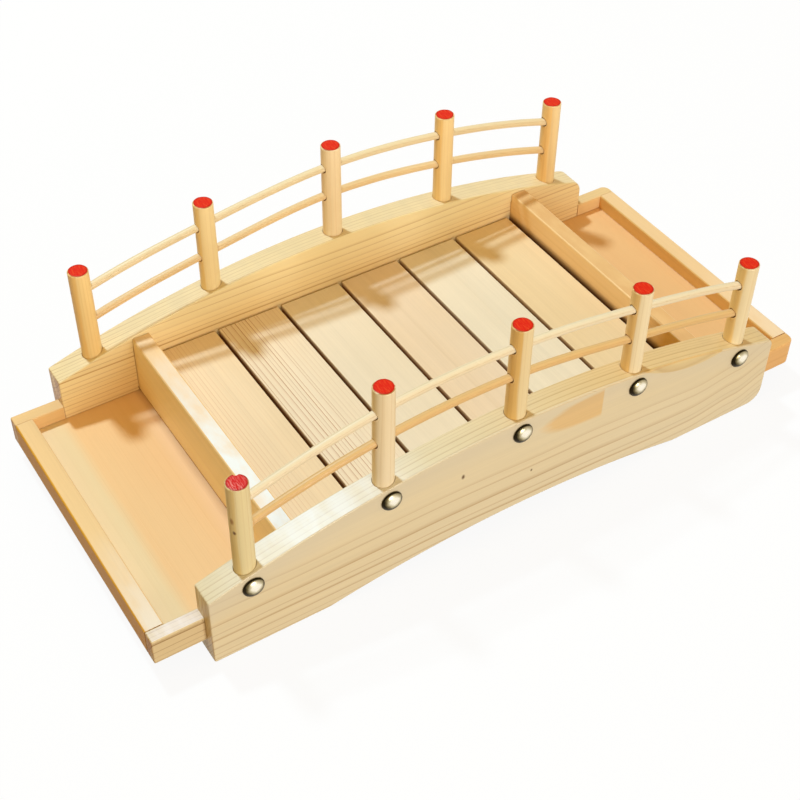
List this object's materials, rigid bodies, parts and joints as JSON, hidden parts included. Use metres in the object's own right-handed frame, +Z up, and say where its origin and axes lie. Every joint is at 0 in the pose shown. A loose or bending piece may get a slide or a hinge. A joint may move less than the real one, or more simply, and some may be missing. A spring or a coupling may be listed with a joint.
{
  "type": "sushi bridge",
  "caption": "Arched wooden serving bridge: slatted deck between two thick side beams, low tray at each end, and post-and-rail railings with red-topped posts.",
  "frame": {"origin": "on the ground under the middle of the bridge", "axes": "+X along the bridge from the left tray to the right tray, +Z up, near railing on the -Y side"},
  "size_m": [0.44, 0.2126, 0.1415],
  "materials": {
    "beam_pine": "sanded pale pine, satin clear coat, long grain lines",
    "post_pine": "turned pale softwood dowel, satin",
    "rail_pale": "thin pale softwood stick, satin",
    "rail_warm": "thin orange-tan softwood stick, satin",
    "divider_pine": "sanded warm pine, satin clear coat",
    "slat_pine": "sanded cream to peach pine, satin clear coat",
    "bearer_pine": "plain sawn pine",
    "floor_pine": "smooth peach pine panel, satin",
    "tray_pine": "sanded warm pine, satin clear coat",
    "nickel": "polished nickel-plated dome",
    "red_paint": "gloss red paint on the post tops"
  },
  "bodies": {
    "root": {"near_beam": "beam_pine", "far_beam": "beam_pine", "near_post_1": "post_pine", "near_post_2": "post_pine", "near_post_3": "post_pine", "near_post_4": "post_pine", "near_post_5": "post_pine", "far_post_1": "post_pine", "far_post_2": "post_pine", "far_post_3": "post_pine", "far_post_4": "post_pine", "far_post_5": "post_pine", "near_nail_1": "nickel", "near_nail_2": "nickel", "near_nail_3": "nickel", "near_nail_4": "nickel", "near_nail_5": "nickel", "far_nail_1": "nickel", "far_nail_2": "nickel", "far_nail_3": "nickel", "far_nail_4": "nickel", "far_nail_5": "nickel", "near_upper_rail": "rail_pale", "near_lower_rail": "rail_warm", "far_upper_rail": "rail_pale", "far_lower_rail": "rail_warm", "left_divider": "divider_pine", "right_divider": "divider_pine", "deck_slat_1": "slat_pine", "deck_slat_2": "slat_pine", "deck_slat_3": "slat_pine", "deck_slat_4": "slat_pine", "deck_slat_5": "slat_pine", "deck_slat_6": "slat_pine", "near_bearer": "bearer_pine", "far_bearer": "bearer_pine", "floor_panel": "floor_pine", "left_end_wall": "tray_pine", "right_end_wall": "tray_pine", "near_left_wall": "tray_pine", "far_left_wall": "tray_pine", "near_right_wall": "tray_pine", "far_right_wall": "tray_pine"}
  },
  "joints": []
}
